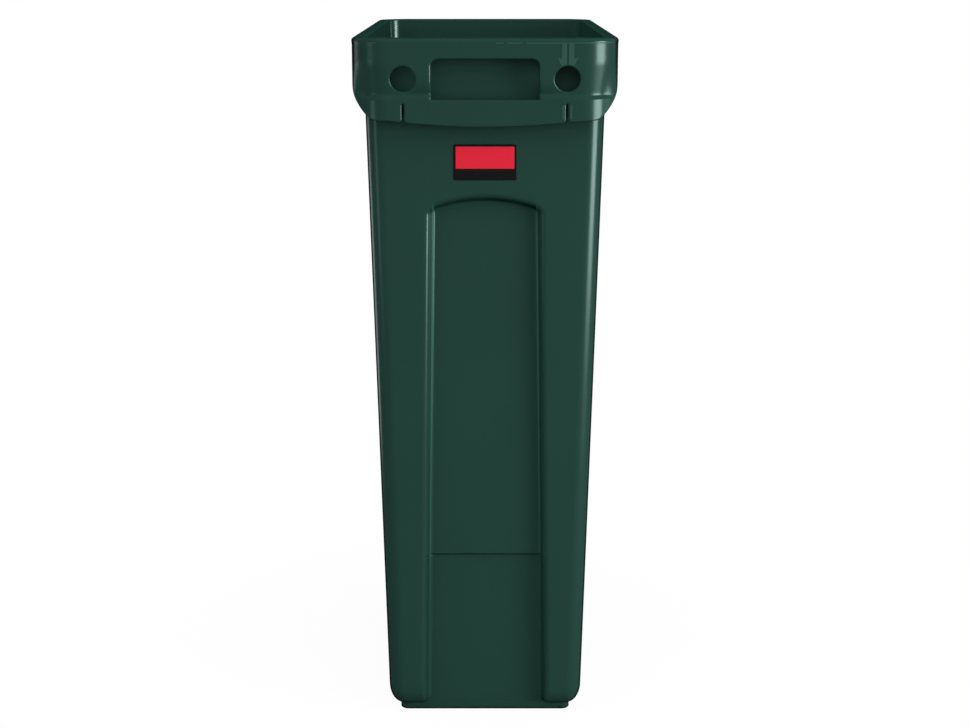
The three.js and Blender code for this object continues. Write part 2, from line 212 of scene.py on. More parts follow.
def colourBlend(nodes, link, factor, first, second):
    # Two colours, each a list of red, green and blue or the output of another node
    node = nodes.new("ShaderNodeMix")
    node.data_type = "RGBA"
    link(factor, node.inputs["Factor"])
    for name, value in (("A", first), ("B", second)):
        if isinstance(value, list):
            node.inputs[name].default_value = (*value, 1)
        else:
            link(value, node.inputs[name])
    return node.outputs["Result"]


def shaderBlend(nodes, link, factor, first, second):
    node = nodes.new("ShaderNodeMixShader")
    link(factor, node.inputs["Fac"])
    link(first.outputs[0], node.inputs[1])
    link(second.outputs[0], node.inputs[2])
    return node


def paintedHighlightLine(nodes, link, parts, look):
    # How strong the painted highlight lines along the two sides of the recess are: they fade towards the foot
    # and end below the arch
    foot, top, height = [size * mm for size in look["line"]]
    middle = mathNode(nodes, link, "MULTIPLY_ADD", parts["Z"], (top - foot) / height, foot)
    across = mathNode(nodes, link, "ABSOLUTE", parts["X"])
    away = mathNode(nodes, link, "ABSOLUTE", mathNode(nodes, link, "SUBTRACT", across, middle))
    width, fade = [[size * mm for size in look[key]] for key in ("lineWidth", "lineFade")]
    end = [height - gap * mm for gap in look["lineEnd"]]
    near = rampNode(nodes, link, away, width, (look["lineShare"], 0))
    low = rampNode(nodes, link, parts["Z"], fade, (look["lineLow"], 1))
    high = rampNode(nodes, link, parts["Z"], end, (1, 0))
    return mathNode(nodes, link, "MULTIPLY", near, mathNode(nodes, link, "MULTIPLY", low, high))


def paintedEdgeShade(nodes, link, place, parts, tone, look):
    # Painted shade: the plastic seen almost edge on loses its gloss and its tone is painted darker, darkest
    # on upright outer walls and less dark on level faces, on the inside and in the recess
    normal = nodes.new("ShaderNodeNewGeometry").outputs["Normal"]
    level = mathNode(nodes, link, "ABSOLUTE", splitNode(nodes, link, normal)["Z"])
    flat = nodes.new("ShaderNodeVectorMath")
    flat.operation = "MULTIPLY"
    flat.inputs[1].default_value = (1, 1, 0)
    link(place, flat.inputs[0])
    outward = nodes.new("ShaderNodeVectorMath")
    outward.operation = "DOT_PRODUCT"
    link(flat.outputs[0], outward.inputs[0])
    link(normal, outward.inputs[1])
    outer = rampNode(nodes, link, level, look["levelReach"], look["edgeShares"])
    inner = rampNode(nodes, link, outward.outputs["Value"], look["innerReach"], (look["innerShare"], 0))
    share = mathNode(nodes, link, "MAXIMUM", outer, inner)
    if "recessReach" in look:
        across = mathNode(nodes, link, "ABSOLUTE", parts["X"])
        reach = [size * mm for size in look["recessReach"]]
        inRecess = rampNode(nodes, link, across, reach, (look["recessShare"], 0))
        share = mathNode(nodes, link, "MAXIMUM", share, inRecess)
    paintedShadeTone = nodes.new("ShaderNodeVectorMath")
    paintedShadeTone.operation = "SCALE"
    link(tone, paintedShadeTone.inputs[0])
    link(share, paintedShadeTone.inputs["Scale"])
    plain = nodes.new("ShaderNodeBsdfDiffuse")
    link(paintedShadeTone.outputs[0], plain.inputs["Color"])
    return plain


def mouldedPlastic(name, look):
    material = bpy.data.materials.new(name)
    material.use_nodes = True
    nodes, link = material.node_tree.nodes, material.node_tree.links.new
    shader = nodes["Principled BSDF"]
    shader.inputs["IOR"].default_value = look["ior"]
    shader.inputs["Specular Tint"].default_value = (*look["glossTint"], 1)
    place = nodes.new("ShaderNodeTexCoord").outputs["Object"]
    parts = splitNode(nodes, link, place)

    cloud = noiseNode(nodes, link, place, look["cloudSize"], 3)
    tone = colourBlend(nodes, link, rampNode(nodes, link, cloud, noiseSpan, (0, 1), "LINEAR"),
                       *[[c * (1 + side * look["cloud"]) for c in look["colour"]] for side in (-1, 1)])
    # Painted highlight: lighter lines along the two sides of the recess
    if "line" in look:
        highlightTone = [c * look["lineLight"] for c in look["colour"]]
        tone = colourBlend(nodes, link, paintedHighlightLine(nodes, link, parts, look), tone, highlightTone)
    # Painted shadow: near the lower edge the tone darkens to near black, where the piece stands on the floor
    if "contactShadeHeight" in look:
        reach = [size * mm for size in look["contactShadeHeight"]]
        contactShadeMask = rampNode(nodes, link, parts["Z"], reach, (look["contactShadeShare"], 0))
        tone = colourBlend(nodes, link, contactShadeMask, tone, look["contactShadeColour"])
    link(tone, shader.inputs["Base Color"])

    patches = noiseNode(nodes, link, place, look["patchSize"], 4)
    ends = [look["roughness"] + side * look["roughnessSpread"] for side in (-1, 1)]
    link(rampNode(nodes, link, patches, noiseSpan, ends, "LINEAR"), shader.inputs["Roughness"])
    bump = nodes.new("ShaderNodeBump")
    bump.inputs["Strength"].default_value = look["grainStrength"]
    bump.inputs["Distance"].default_value = look["grainHeight"] * mm
    link(noiseNode(nodes, link, place, look["grainSize"], 2), bump.inputs["Height"])
    link(bump.outputs["Normal"], shader.inputs["Normal"])

    # Layer Weight brings in the painted edge shade, so the tone as well as the gloss changes with the angle
    # of view
    facing = nodes.new("ShaderNodeLayerWeight").outputs["Facing"]
    edgeOn = rampNode(nodes, link, facing, look["edgeReach"], (0, 1))
    blend = shaderBlend(nodes, link, edgeOn, shader, paintedEdgeShade(nodes, link, place, parts, tone, look))
    link(blend.outputs[0], nodes["Material Output"].inputs["Surface"])
    return material


noiseSpan = (0.3, 0.7)  # where nearly all of a noise's values lie
greenLook = {
    "colour": (0.0125, 0.0445, 0.0345),
    "cloud": 0.025,
    "cloudSize": 90,
    "roughness": 0.25,
    "roughnessSpread": 0.015,
    "patchSize": 60,
    "grainSize": 0.9,
    "grainHeight": 0.01,
    "grainStrength": 0.06,
    "ior": 1.5,
    "glossTint": (0.68, 1, 0.9),
    # The edge, level and inner values set how dark the painted shade is where a face is seen almost edge on
    "edgeReach": (0.52, 0.74),
    "levelReach": (0.3, 0.8),
    "edgeShares": (0.22, 0.65),
    "innerReach": (-0.02, 0.02),
    "innerShare": 0.9,
}
filmLook = dict(greenLook, glossTint=(1, 1, 1), grainStrength=0.05)
# The raised marks are painted a lighter green: a painted highlight for the light that their edges catch
raisedHighlightLook = dict(greenLook, colour=(0.021, 0.066, 0.053), roughness=0.45)
greenPlastic = mouldedPlastic("green_moulded_plastic", greenLook)
raisedHighlightPlastic = mouldedPlastic("green_raised_painted_highlight", raisedHighlightLook)
labelBlack = mouldedPlastic("label_black_film", dict(filmLook, colour=(0.006, 0.006, 0.006), roughness=0.3))
labelRed = mouldedPlastic("label_red_print", dict(filmLook, colour=(0.66, 0.006, 0.028), roughness=0.32))
print("materials made")


# Tub

tub = {
    "height": 762,
    "top": 759,
    "baseHalves": (108.3, 239, 18),
    "topHalves": (128.4, 257.4, 20),
    "wall": 3,
    "bottom": 10.5,
    "edgeRise": 22,
    "edgeInset": 13,
    "upperRows": (750, 736, 722, 700, 670, 640, 615),
    "sideStops": (0.07, 0.14, 0.21, 0.28, 0.34, 0.405, 0.47, 0.54, 0.62, 0.7, 0.8, 0.9, 1),
    "floorRise": 9.2,
    "pocketHalves": (91.58, 217.75, 4),
    "floorHalves": (94.58, 220.75, 7),
}
recess = {
    "top": 595.6,
    "baseHalf": 69.3,
    "topHalf": 60,
    "archRadius": 160,
    "shoulder": 8,
    "depth": 13.5,
    "draft": 5.8,
    "mouthEdge": 8,
    "floorEdge": 4.5,
    "step": 190.9,
    "stepDepth": 3,
    "stepRun": 0.8,
    "stepRows": (4, 2.4, 1.5, 0.9, 0.5, 0.2, 0, -0.2, -0.4, -0.6, -0.8, -1, -1.25, -1.5, -1.75, -2, -2.3,
                 -2.6, -3, -3.6, -4.5),
    "grooveDepth": 1.8,
    "grooveDrop": 1.5,
    "grooveWidth": 0.8,
    "footRound": 9,
    "lineInset": 5,
}
inlet = {"middle": 136, "height": 735.5, "halfWidth": 18, "radius": 4.5, "edge": 1}
# The line entries place the painted highlight lines along the recess sides, and the recess entries make the
# painted edge shade lighter inside the recess
lineHalves = [recess[key] - recess["lineInset"] for key in ("baseHalf", "topHalf")]
tubLook = dict(greenLook, **{
    "line": (*lineHalves, recess["top"]),
    "lineWidth": (0.3, 1.2),
    "lineFade": (30, 500),
    "lineLow": 0.15,
    "lineEnd": (13, 6),
    "lineShare": 0.8,
    "lineLight": 3,
    "recessReach": (76, 84),
    "recessShare": 0.8,
})
tubPlastic = mouldedPlastic("green_tub_plastic", tubLook)


def tubHalves(z):
    # Half width, half length and corner radius of the tub's outer face: straight lines between foot and rim
    share = z / tub["height"]
    return [mix(base, top, share) for base, top in zip(tub["baseHalves"], tub["topHalves"])]


def recessEdge(z):
    # Half width of the recess: straight slanted sides that flare out in a quarter circle at the foot
    drop = np.clip((tub["bottom"] + recess["footRound"] - z) / recess["footRound"], 0, 1)
    flare = recess["footRound"] * (1 - np.sqrt(1 - drop ** 2))
    return mix(recess["baseHalf"], recess["topHalf"], z / recess["top"]) + flare


def cornerCurve(before, corner, after, reach, steps):
    # A rounded corner: the quadratic curve that leaves one side and joins the next, reach away from it
    a = corner + reach * (before - corner) / np.linalg.norm(before - corner)
    b = corner + reach * (after - corner) / np.linalg.norm(after - corner)
    t = np.linspace(0, 1, steps)[:, None]
    return (1 - t) ** 2 * a + 2 * t * (1 - t) * corner + t ** 2 * b


def recessProfile(mouthEdge, floorEdge):
    # Depth of the recess across its side wall: flat face, rounded mouth, drafted wall, rounded floor edge.
    # Distances fall from outside the recess to inside it.
    outside = np.array([30, 0])
    mouth = np.array([0, 0])
    foot = np.array([-recess["draft"], recess["depth"]])
    inside = np.array([-60, recess["depth"]])
    half = math.atan2(recess["depth"], recess["draft"]) / 2
    first = cornerCurve(outside, mouth, foot, mouthEdge * math.tan(half), 9)
    last = cornerCurve(mouth, foot, inside, floorEdge * math.tan(half), 8)
    return np.vstack([first, last])


def tubSheet(wall):
    # A quarter of one face of the tub, from the middle of the front end to the middle of the right side. Each
    # row is a rounded rectangle at its height, drawn in by the lower edge's ellipse. The front is pushed in
    # by the recess, whose depth follows the distance to an outline of two slanted sides and an arch.
    profile = recessProfile(max(recess["mouthEdge"] - wall, 1.2), recess["floorEdge"] + wall)
    across = profile[:, 0]
    near, far = across[-1] - 1.5, across[0] + 1
    inner = np.linspace(0, 1, 13)[:-1]
    outer = np.linspace(0, 1, 4)
    turns = arcSteps(14)[1:]
    sides = np.array(tub["sideStops"])
    edgeWeight = np.concatenate([inner, [1], np.ones(len(across)), 1 - outer])
    flatWeight = np.concatenate([inner * 0, [0], across * 0, outer])
    offset = np.concatenate([inner * near, [near], across[::-1], far * (1 - outer)])
    flats = len(offset)
    turn = np.concatenate([np.zeros(flats), turns, np.full(len(sides), np.pi / 2)])
    along = np.concatenate([np.zeros(flats + len(turns)), sides])
    columns = len(turn)
    edgeWeight, flatWeight, offset = [
        np.concatenate([values, np.full(columns - flats, rest)])
        for values, rest in ((edgeWeight, 0), (flatWeight, 1), (offset, 0))]

    grow = wall
    archRadius = recess["archRadius"] + grow
    archMiddle = recess["top"] + grow - archRadius
    roughX = edgeWeight * (recessEdge(recess["top"]) + grow) + flatWeight * recess["topHalf"] * 2 + offset
    archTop = archMiddle + np.sqrt(archRadius ** 2 - np.minimum(roughX, recess["topHalf"] + grow) ** 2)
    stepZ = recess["step"] + grow
    stepRows = stepZ + np.array(recess["stepRows"])
    edgeTop = tub["bottom"] + tub["edgeRise"]
    angles = arcSteps(10)[::-1]
    fixed = np.ones(columns)
    z = [h * fixed for h in (tub["top"], *tub["upperRows"])]
    z += [archTop + q for q in np.concatenate([[far + 3], across, [near, near - 3]])]
    underArch = z[-1]
    z += [mix(underArch, stepRows[0], s) for s in np.linspace(0, 1, 24)[1:-1]]
    z += [h * fixed for h in stepRows]
    z += [h * fixed for h in np.linspace(stepRows[-1], edgeTop, 10)[1:-1]]
    z += [(edgeTop - (tub["edgeRise"] - wall) * math.cos(a)) * fixed for a in angles]
    z = np.array(z)
    rows = len(z)
    edgeTurn = np.concatenate([np.full(rows - len(angles), np.pi / 2), angles])[:, None]
    inset = wall + (tub["edgeInset"] - wall) * (1 - np.sin(edgeTurn))

    halfWidth, halfLength, radius = tubHalves(z)
    flatHalf = halfWidth - radius
    x = edgeWeight * (recessEdge(z) + grow) + flatWeight * flatHalf + offset
    sideways = np.abs(x) - recessEdge(z) - grow
    upwards = z - archTop
    shoulder = max(recess["shoulder"] + grow, 0)
    a, b = sideways + shoulder, upwards + shoulder
    distance = np.hypot(np.maximum(a, 0), np.maximum(b, 0)) + np.minimum(np.maximum(a, b), 0) - shoulder
    depth = np.interp(distance, across[::-1], profile[::-1, 1])
    groove = np.exp(-((stepZ - recess["grooveDrop"] - z) / recess["grooveWidth"]) ** 2)
    stepped = recess["stepDepth"] * smooth((stepZ - z) / recess["stepRun"]) + recess["grooveDepth"] * groove
    depth *= 1 + stepped / recess["depth"]
    onEnd = turn == 0
    depth = np.where(onEnd, depth, 0)
    rounding = inset - wall
    blend = 1.5 * np.clip(rounding / 4, 0, 1)
    pushed = wall + 0.5 * (rounding + depth + np.sqrt((rounding - depth) ** 2 + blend ** 2))
    pushed = np.where(onEnd, np.where(blend > 0, pushed, wall + np.maximum(depth, rounding)), inset)
    x = np.where(onEnd, x, flatHalf + (radius - inset) * np.sin(turn))
    y = -(halfLength - radius) * (1 - along) - (radius - pushed) * np.where(along > 0, 0, np.cos(turn))
    sheet = np.dstack([x, y, z])

    # Below the lower edge: an outline that steps in and up to the raised floor and closes at its middle
    halves = tub["floorHalves"] if wall else tub["pocketHalves"]
    low, high = z[-1, 0], tub["bottom"] + tub["floorRise"] + wall
    last = sheet[-1]
    closing = []
    for shrink, height in ((0, low), (0, high - 1), (0.3, high - 0.3), (1, high), (halves[0] / 2, high)):
        hw, hl, r = halves[0] - shrink, halves[1] - shrink, max(halves[2] - shrink, 0.5)
        cx = np.where(onEnd, last[:, 0] / flatHalf[-1] * (hw - r), hw - r + r * np.sin(turn))
        cy = -(hl - r) * (1 - along) - np.where(along > 0, 0, r * np.cos(turn))
        if wall:
            cy = np.where(onEnd, np.maximum(cy, last[:, 1] + 0.2), cy)
        closing.append(np.column_stack([cx, cy, height * fixed]))
    closing.append(np.column_stack([0 * fixed, 0 * fixed, high * fixed]))
    sheet = np.concatenate([sheet, np.array(closing)])
    firstSide = flats + len(turns)
    window = (1, 3, firstSide + 3, firstSide + 7)
    return sheet, window


def slotLoop(middle, height, halfWidth, radius, steps=10):
    # A slot with round ends, as points and their directions away from the opening
    a = np.linspace(-np.pi / 2, np.pi / 2, steps)
    a = np.concatenate([a, a + np.pi])
    away = np.column_stack([np.cos(a), np.sin(a)])
    shift = np.sign(away[:, 0]) * (halfWidth - radius)
    centre = np.column_stack([middle + shift, 0 * a + height])
    return centre + radius * away, away


def inletPatch(sheet, window, face, path, away, offset):
    # The flat cells of the window, filled again around the air inlet
    r0, r1, c0, c1 = window
    flat = sheet[r0:r1 + 1, c0:c1 + 1, 1:]
    border = np.vstack([flat[0, :-1], flat[:-1, -1], flat[-1, :0:-1], flat[:0:-1, 0]])
    points, faces = regionFaces(border, [path + away * offset], flat[1:-1, 1:-1].reshape(-1, 2), 2)
    x = tubHalves(points[:, 1])[0] - face
    return np.column_stack([x, points]), faces


def makeTub():
    outside, window = tubSheet(0)
    inside, _ = tubSheet(tub["wall"])
    rows = len(inside)
    r0, r1, c0, c1 = window
    whole = np.concatenate([inside[::-1], outside])
    windows = [(rows + r0, rows + r1, c0, c1), (rows - 1 - r1, rows - 1 - r0, c0, c1)]
    parts = [gridPart(whole, windows)]
    path, away = slotLoop(-inlet["middle"], inlet["height"], inlet["halfWidth"], inlet["radius"])
    offset, depth = edgeProfile(tub["wall"], inlet["edge"], inlet["edge"] / 2)
    parts.append(inletPatch(outside, window, 0, path, away, offset[0]))
    parts.append(inletPatch(inside, window, tub["wall"], path, away, offset[-1]))
    path, away = closedRow(path), closedRow(away)
    flat = path[None] + away[None] * offset[:, None, None]
    x = tubHalves(flat[..., 1])[0] - depth[:, None]
    parts.append(gridPart(np.dstack([x, flat])))
    quarter = joined(parts)
    half = joined([quarter, mirrored(quarter, 0)])
    return joined([half, mirrored(half, 1)])


addPiece("tub_shell", makeTub(), tubPlastic, ["container_tub"])


# Rim collar

collar = {
    "halfWidth": 139.7,
    "halfLength": 279.4,
    "cornerRadius": 40,
    "mouthRadius": 17,
    "mouthHalves": (125.4, 254.4),
    "mouthEdge": 1.2,
    "web": 3,
    "wall": 3,
    "bead": 3.5,
    "bandInset": 0.35,
    "endDepth": 90.8,
    "endBow": 6,
    "sideDepth": 32,
    "sweepStart": 10,
    "sweep": 85,
    "scoopTop": 36,
    "scoopCornerTop": 24,
    "scoopInsets": (6.8, 7.3),
    "scoopPowers": (2.8, 1),
    "scoopTurn": (-0.8, 0.25),
    "ledge": 56.2,
    "ledgeDrop": 4,
    "cornerDip": 2,
    "ledgeToEdge": 8,
    "apronInset": 4.7,
    "apronFrom": 62,
    "fadeTurn": (0.48, 0.88),
    "softness": 1.1,
    "edge": 1.6,
    "backEdge": 0.4,
    "windowRun": 104,
    "windowTop": 14,
    "bandLevels": (3.9, 4.5, 5.2, 6, 7, 8, 11, 14),
    "ledgeLevels": (54.6, 55.2, 55.6, 55.9, 56.15, 56.4, 56.65, 56.9, 57.2, 57.5, 57.75, 58, 59, 59.5, 60,
                    60.5, 61.2, 62),
}
opening = {
    "handHalf": 56, "handTop": 21, "handBottom": 62.5, "handRadius": 8, "handFoot": 1.2, "handEdge": 2.2,
    "holeMiddle": 85.1, "holeDepth": 41.3, "holeRadius": 13.2, "holeEdge": 1.5,
    "slotTop": 67, "slotHalf": 1.2, "slotMouth": 3.5,
}
endFlat = collar["halfWidth"] - collar["cornerRadius"]
sideFlat = collar["halfLength"] - collar["cornerRadius"]
cornerRun = collar["cornerRadius"] * math.pi / 2


def collarPoint(run, depth, inset):
    # A distance along the outline from the middle of the front end, a depth below the rim and an inset from
    # the outer face: straight end, quarter circle, straight side
    far = np.abs(run)
    turn = np.clip((far - endFlat) / collar["cornerRadius"], 0, np.pi / 2)
    radius = collar["cornerRadius"] - inset
    x = np.sign(run) * (np.minimum(far, endFlat) + radius * np.sin(turn))
    y = -sideFlat - radius * np.cos(turn) + np.maximum(0, far - endFlat - cornerRun)
    return np.stack(np.broadcast_arrays(x, y, tub["height"] - depth), axis=-1)


def mouthPoint(run, depth, out):
    # The same for the mouth's edge, which stands on the tub's inner face
    far = np.abs(run)
    turn = np.clip((far - endFlat) / collar["cornerRadius"], 0, np.pi / 2)
    flatX, flatY = [half - collar["mouthRadius"] for half in collar["mouthHalves"]]
    radius = collar["mouthRadius"] + out
    x = np.sign(run) * (np.minimum(far, endFlat) * flatX / endFlat + radius * np.sin(turn))
    y = (np.maximum(0, far - endFlat - cornerRun) / sideFlat - 1) * flatY - radius * np.cos(turn)
    return np.stack(np.broadcast_arrays(x, y, tub["height"] - depth), axis=-1)


def edgeDepth(run):
    far = np.abs(run)
    onEnd = collar["endDepth"] - collar["endBow"] * np.minimum(1, far / endFlat) ** 2
    return mix(onEnd, collar["sideDepth"], smoother((far - endFlat - collar["sweepStart"]) / collar["sweep"]))


fineDepth = np.linspace(0, 100, 4001)


def softened(values):
    # The same curve with its corners rounded by a bell-shaped average
    count = 60
    reach = np.arange(-count, count + 1) * fineDepth[1]
    bell = np.exp(-0.5 * (reach / collar["softness"]) ** 2)
    padded = np.concatenate([np.full(count, values[0]), values, np.full(count, values[-1])])
    return np.convolve(padded, bell / bell.sum(), "valid")


bandCurve = collar["bandInset"] * smooth((fineDepth - 3.5) / 4)
dropShare = np.clip((fineDepth - collar["ledge"]) / collar["ledgeDrop"], 0, 1)
scoopShare = np.clip((fineDepth - collar["scoopTop"]) / (collar["ledge"] - collar["scoopTop"]), 0, 1)
scoopCurves = [softened((inset - collar["bandInset"]) * scoopShare ** power * (1 - dropShare))
               for inset, power in zip(collar["scoopInsets"], collar["scoopPowers"])]
apronCurve = softened((collar["apronInset"] - collar["bandInset"]) * dropShare)


def scoopChange(run):
    # From 0 to 1 while the scoop of the end turns into the higher, straighter one of the corner
    start, end = collar["scoopTurn"]
    return smooth(((np.abs(run) - endFlat) / cornerRun - start) / (end - start))


def faceInset(level, run):
    # Band, scoop and apron added up; the scoop and the apron fade out round the corner
    turn = (np.abs(run) - endFlat) / cornerRun
    start, end = collar["fadeTurn"]
    kept = 1 - smooth((turn - start) / (end - start))
    scoop = mix(*[np.interp(level, fineDepth, curve) for curve in scoopCurves], scoopChange(run))
    return np.interp(level, fineDepth, bandCurve) + kept * (scoop + np.interp(level, fineDepth, apronCurve))


def sectionMarks(run):
    # The marks of the end's section, and the depths where they lie at each place: their stretches shrink on
    # the sides
    edge = edgeDepth(run)
    ledge = np.minimum(collar["ledge"] + collar["cornerDip"] * scoopChange(run), edge - collar["ledgeToEdge"])
    drop = np.minimum(collar["ledgeDrop"], (edge - ledge) / 2)
    after = collar["ledge"] + collar["ledgeDrop"]
    last = edge - collar["edge"] - 0.05
    scoopTop = mix(collar["scoopTop"], collar["scoopCornerTop"], scoopChange(run))
    marks = [0, 6, collar["scoopTop"], collar["ledge"], after, collar["apronFrom"], 91]
    places = [0 * edge, 6 + 0 * edge, np.minimum(scoopTop, ledge / 2 + 8), ledge, ledge + drop,
              np.minimum(ledge + drop + collar["apronFrom"] - after, last - 0.1), last]
    return marks, places


def stretched(value, froms, tos):
    # The value carried from one row of marks to the other, straight between neighbours
    result = tos[0]
    for low, high, near, far in zip(froms, froms[1:], tos, tos[1:]):
        result = np.where(value > low, mix(near, far, np.clip((value - low) / (high - low), 0, 1)), result)
    return result


def levelDepth(level, run):
    marks, places = sectionMarks(run)
    return stretched(level, marks, places)


def windowPoint(run, depth, into):
    # A point of the collar's face, by its depth instead of its level
    marks, places = sectionMarks(run)
    return collarPoint(run, depth, faceInset(stretched(depth, places, marks), run) + into)


def handPath():
    # A rounded rectangle: large corners above, small ones below, with points along its straight sides
    points, away = [], []
    half, top, bottom = opening["handHalf"], opening["handTop"], opening["handBottom"]
    corners = [(1, top, opening["handRadius"], -90), (1, bottom, opening["handFoot"], 0),
               (-1, bottom, opening["handFoot"], 90), (-1, top, opening["handRadius"], 180)]
    for side, depth, radius, start in corners:
        a = np.radians(start + np.linspace(0, 90, 9))
        direction = np.column_stack([np.cos(a), np.sin(a)])
        centre = [side * (half - radius), depth + (radius if depth == top else -radius)]
        points.append(centre + radius * direction)
        away.append(direction)
    full, directions = [], []
    for i in range(4):
        start, end = points[i][-1], points[(i + 1) % 4][0]
        share = np.linspace(0, 1, 2 + int(np.linalg.norm(end - start) / 1.3))[1:-1, None]
        full += [points[i], mix(start, end, share)]
        directions += [away[i], np.repeat(away[i][-1:], len(share), axis=0)]
    return np.vstack(full), np.vstack(directions)


def holePath(middle):
    a = np.linspace(0, 2 * np.pi, 73)[:-1]
    away = np.column_stack([np.cos(a), np.sin(a)])
    return np.array([middle, opening["holeDepth"]]) + opening["holeRadius"] * away, away


def lowerPath(runs):
    # The skirt's lower edge from left to right, with a slot and its rounded mouth at each side
    half, mouth = opening["slotHalf"], opening["slotMouth"]
    reach = half + mouth
    parts, away = [], []
    kept = runs[np.abs(np.abs(runs) - opening["holeMiddle"]) > reach + 0.4]
    for group, centre in ((kept[kept < -opening["holeMiddle"]], -opening["holeMiddle"]),
                          (kept[np.abs(kept) < opening["holeMiddle"]], opening["holeMiddle"]),
                          (kept[kept > opening["holeMiddle"]], None)):
        parts.append(np.column_stack([group, edgeDepth(group)]))
        away.append(np.column_stack([0 * group, 0 * group - 1]))
        if centre is None:
            break
        a = arcSteps(6)
        arcRun = centre - reach + mouth * np.sin(a)
        leftArc = np.column_stack([arcRun, edgeDepth(arcRun) - mouth * (1 - np.cos(a))])
        leftAway = np.column_stack([-np.sin(a), -np.cos(a)])
        top = opening["slotTop"] + half
        low = leftArc[-1, 1]
        climb = np.linspace(low, top, 20)[1:-1]
        t = np.linspace(0, np.pi, 13)
        crown = np.column_stack([centre - half * np.cos(t), top - half * np.sin(t)])
        crownAway = np.column_stack([-np.cos(t), -np.sin(t)])
        rightArc = leftArc[::-1] * [-1, 1] + [2 * centre, 0]
        rightArc[:, 1] = edgeDepth(rightArc[:, 0]) - mouth * (1 - np.cos(a[::-1]))
        down = np.linspace(top, rightArc[0, 1], 20)[1:-1]
        parts += [leftArc, np.column_stack([0 * climb + centre - half, climb]), crown,
                  np.column_stack([0 * down + centre + half, down]), rightArc]
        away += [leftAway, np.tile([-1.0, 0], (len(climb), 1)), crownAway, np.tile([1.0, 0], (len(down), 1)),
                 leftAway[::-1] * [-1, 1]]
    return np.vstack(parts), np.vstack(away)


def makeCollar():
    window = collar["windowRun"]
    sweepEnd = endFlat + collar["sweepStart"] + collar["sweep"]
    quarter = np.concatenate([np.linspace(0, window, 41), np.linspace(window, endFlat + cornerRun, 21)[1:],
                              np.linspace(endFlat + cornerRun, sweepEnd, 15)[1:],
                              np.linspace(sweepEnd, endFlat + cornerRun + sideFlat, 6)[1:]])
    runs = np.concatenate([-quarter[:0:-1], quarter])
    levels = np.array([*collar["bandLevels"], *range(16, 54, 2), *collar["ledgeLevels"], *range(64, 89, 3)])
    wall, edge, back = collar["wall"], collar["edge"], collar["backEdge"]
    a = arcSteps(4)
    rows = [mouthPoint(runs, collar["web"], 0)]
    rows += [mouthPoint(runs, r, o) for o, r in zip(collar["mouthEdge"] * (1 - np.cos(a)),
                                                     collar["mouthEdge"] * (1 - np.sin(a)))]
    rows.append(collarPoint(runs, 0, 6))
    b = arcSteps(6)
    rows += [collarPoint(runs, d, i) for i, d in zip(collar["bead"] * (1 - np.sin(b)),
                                                      collar["bead"] * (1 - np.cos(b)))]
    front = [(levelDepth(level, runs), faceInset(level, runs)) for level in levels]
    firstCut = len(rows) + int(np.where(levels == collar["windowTop"])[0][0])
    rows += [collarPoint(runs, d, i) for d, i in front]
    lowInset = faceInset(91, runs)
    offset, into = edgeProfile(wall, edge, back)
    rows += [collarPoint(runs, edgeDepth(runs) - o, lowInset + i) for o, i in zip(offset, into)]
    backLevels = levels[levels >= 5.2][::-1]
    lastCut = len(rows) + int(np.where(backLevels == collar["windowTop"])[0][0])
    rows += [collarPoint(runs, levelDepth(level, runs), faceInset(level, runs) + wall)
             for level in backLevels]
    inner = wall + collar["bandInset"]
    rows += [collarPoint(runs, collar["web"] + 1.2 * (1 - math.sin(c)), inner + 1.2 * (1 - math.cos(c)))
             for c in arcSteps(3)]
    rows.append(rows[0])
    grid = np.array(rows)
    left, right = [int(np.argmin(np.abs(runs - r))) for r in (-window, window)]
    parts = [gridPart(grid, [(firstCut, lastCut, left, right)])]

    lower, lowerAway = lowerPath(runs[left:right + 1])
    hand, handAway = handPath()
    holes = [(hand, handAway, opening["handEdge"])]
    holes += [(*holePath(side * opening["holeMiddle"]), opening["holeEdge"]) for side in (-1, 1)]
    rowRuns = runs[left:right + 1]
    for near, thick in ((True, 0), (False, wall)):
        used = levels[(levels >= collar["windowTop"])]
        depths = np.array([levelDepth(level, rowRuns) for level in used])
        lattice = np.dstack([np.broadcast_to(rowRuns, depths.shape), depths])
        lowOffset = edge if near else back
        lowRow = lower + lowerAway * lowOffset
        border = np.vstack([lattice[0], lattice[1:, -1], lowRow[::-1], lattice[:0:-1, 0]])
        loops = [path + away * (r if near else back) for path, away, r in holes]
        points, faces = regionFaces(border, loops, lattice[1:, 1:-1].reshape(-1, 2), 0.8)
        parts.append((windowPoint(points[:, 0], points[:, 1], thick), faces))
    strips = [(closedRow(p), closedRow(n), r) for p, n, r in holes] + [(lower, lowerAway, edge)]
    for path, away, radius in strips:
        offset, into = edgeProfile(wall, radius, back)
        flat = path[None] + away[None] * offset[:, None, None]
        parts.append(gridPart(windowPoint(flat[..., 0], flat[..., 1], into[:, None])))
    half = joined(parts)
    return joined([half, mirrored(half, 1)])


addPiece("collar_shell", makeCollar(), greenPlastic, ["rim_collar"])


# Raised marks at each end: arrows at the right hole and beside its slot, and broken lines along the rim

mark = {
    "proud": 0.3, "sunk": 0.15, "gap": 1.1, "stem": 6.4, "top": 5, "barb": 11.2, "barbDepth": 19.5,
    "neckDepth": 20.6, "tipHalf": 6.5, "holeGap": 0.3,
    "slotStem": (3.3, 5.1), "slotTip": 66.6, "slotBarb": 6.4, "slotBarbDepth": 71.4, "slotFoot": 82.5,
    "lineDepth": 4.5, "lineHalf": 0.6, "lineProud": 0.05,
    "lines": ((-120.6, -111.7), (10.8, 19), (23.1, 38.5), (42.6, 140.9)),
}


def denseLoop(corners, step=2.5):
    # A polygon with points added along its sides
    full = []
    for start, end in zip(corners, np.roll(corners, -1, axis=0)):
        count = 1 + int(np.linalg.norm(end - start) / step)
        full.append(mix(start, end, np.arange(count)[:, None] / count))
    return np.vstack(full)


